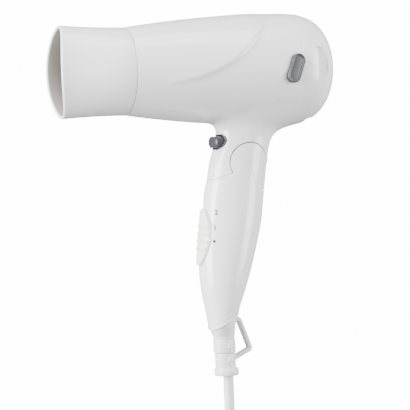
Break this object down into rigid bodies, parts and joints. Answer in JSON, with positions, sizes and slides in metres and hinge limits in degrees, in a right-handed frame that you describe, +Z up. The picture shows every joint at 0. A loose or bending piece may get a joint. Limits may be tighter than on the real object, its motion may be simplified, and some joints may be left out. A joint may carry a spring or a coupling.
{
  "type": "hair dryer",
  "caption": "Folding-handle hair dryer with a flared concentrator nozzle, slide switch, cool-shot button, hanging loop and tied mains cord with plug.",
  "frame": {"origin": "middle of the grip, where the hand closes round the handle", "axes": "+Z up along the unfolded handle, the air outlet faces -X, the body is symmetrical about the XZ plane"},
  "size_m": [0.1928, 0.0792, 0.531],
  "materials": {
    "shell_white": "smooth glossy white",
    "knob_white": "satin, a little warmer than the casing",
    "cord_white": "satin flexible white",
    "dark_trim": "dark grey satin",
    "mark_grey": "printed grey",
    "switch_black": "moulded black",
    "guide_grey": "moulded grey",
    "steel": "plated",
    "pin_metal": "bright nickel",
    "copper_red": "insulated wire",
    "heat_grille": "heat-proof grey",
    "mica": "pressed mica board",
    "coil_wire": "resistance wire",
    "fuse_metal": "drawn can",
    "duct_black": "moulded black",
    "terminal_brass": "stamped"
  },
  "bodies": {
    "handle": {"handle_front_shell": "shell_white", "handle_rear_shell": "shell_white", "end_collar": "shell_white", "strain_relief": "cord_white", "hang_loop": "cord_white", "hinge_pin": "steel", "switch_block": "switch_black", "slide_guide": "guide_grey", "handle_wires": "copper_red", "cord_clamp": "guide_grey", "handle_screw": "steel", "switch_marks": "mark_grey", "cord_lead": "cord_white", "cord_hank": "cord_white", "cord_tail": "cord_white", "hank_tie": "switch_black", "plug_body": "cord_white", "plug_pins": "pin_metal"},
    "slider": {"slide_knob": "knob_white", "slide_carriage": "switch_black"},
    "head": {"front_housing": "shell_white", "rear_housing": "shell_white", "side_cap_left": "dark_trim", "side_cap_right": "dark_trim", "button_bezel": "dark_trim", "outlet_grille": "heat_grille", "heat_shield": "mica", "mica_frame": "mica", "heating_coils": "coil_wire", "thermostat": "steel", "thermal_fuse": "fuse_metal", "fan_duct": "duct_black", "motor": "steel", "motor_terminals": "terminal_brass", "cool_microswitch": "switch_black", "neck_wires": "copper_red", "neck_screw": "steel", "button_spring": "steel"},
    "button": {"cool_button": "dark_trim"},
    "fan": {"impeller": "duct_black", "motor_shaft": "steel"},
    "grille": {"rear_grille": "shell_white", "intake_filter": "dark_trim"},
    "nozzle": {"nozzle": "shell_white"}
  },
  "joints": [
    {"name": "fold", "type": "hinge", "parent": "handle", "child": "head", "pos_m": [0.0114, 0, 0.053], "axis": [0, 1, 0], "range_deg": [0, 80]},
    {"name": "switch_slide", "type": "slide", "parent": "handle", "child": "slider", "axis": [0.1184, 0, 0.993], "range_m": [0, 0.014]},
    {"name": "cool_press", "type": "slide", "parent": "head", "child": "button", "axis": [1, 0, 0], "range_m": [0, 0.002], "stiffness_N_per_m": 1200, "springref_m": -0.001, "deforming": ["button_spring"]},
    {"name": "fan_spin", "type": "hinge", "parent": "head", "child": "fan", "pos_m": [0, 0, 0.1165], "axis": [1, 0, 0], "continuous": true},
    {"name": "grille_twist", "type": "hinge", "parent": "head", "child": "grille", "pos_m": [0, 0, 0.1165], "axis": [1, 0, 0], "range_deg": [0, 20]},
    {"name": "nozzle_pull", "type": "slide", "parent": "head", "child": "nozzle", "axis": [-1, 0, 0], "range_m": [0, 0.02]}
  ]
}
